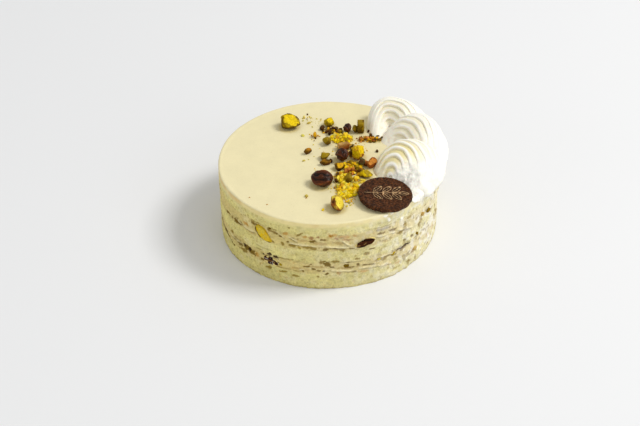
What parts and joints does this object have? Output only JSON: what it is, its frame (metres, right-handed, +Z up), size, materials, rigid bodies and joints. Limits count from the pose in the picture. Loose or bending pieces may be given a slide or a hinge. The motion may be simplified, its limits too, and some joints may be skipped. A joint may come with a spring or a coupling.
{
  "type": "pistachio cake",
  "caption": "Round layered pistachio cake: sponge and nut cream layers, smooth top, piped cream swirls, chocolate disc, chopped nuts and raisins.",
  "frame": {"origin": "centre of the cake's round flat underside", "axes": "+Z up, the picture's camera looks along +Y, +X to its right, where the piped swirls stand"},
  "size_m": [0.1637, 0.1571, 0.0757],
  "materials": {
    "sponge": "open, crumbly pistachio sponge, cut at the side",
    "filling": "pale cream filling with chopped nuts, scraped at the side",
    "pistachio_cream": "smooth satin pistachio cream with chopped nuts",
    "whipped_cream": "soft white whipped cream",
    "chocolate": "moulded dark chocolate, satin",
    "pistachio": "roasted pistachio, yellow-green with a brown skin",
    "roasted_nut": "roasted nut pieces, orange brown",
    "raisin": "dark wrinkled raisin, slightly glossy"
  },
  "bodies": {
    "root": {"sponge_bottom": "sponge", "filling_lower": "filling", "sponge_middle": "sponge", "filling_upper": "filling", "sponge_top": "sponge", "top_cream": "pistachio_cream", "pistachio_side": "pistachio", "raisin_side_upper": "raisin", "raisin_side_lower": "raisin", "swirl_back": "whipped_cream", "swirl_middle": "whipped_cream", "swirl_front": "whipped_cream", "chocolate_disc": "chocolate", "pistachio_back": "pistachio", "pistachio_centre": "pistachio", "pistachio_front": "pistachio", "nut_right": "roasted_nut", "raisin_left": "raisin", "raisin_centre": "raisin", "raisin_back": "raisin", "chunk_upright": "pistachio", "chunk_back": "pistachio", "chunk_pale": "roasted_nut", "chunk_yellow": "pistachio", "chunk_dark": "roasted_nut", "chunk_long": "pistachio"}
  },
  "joints": []
}
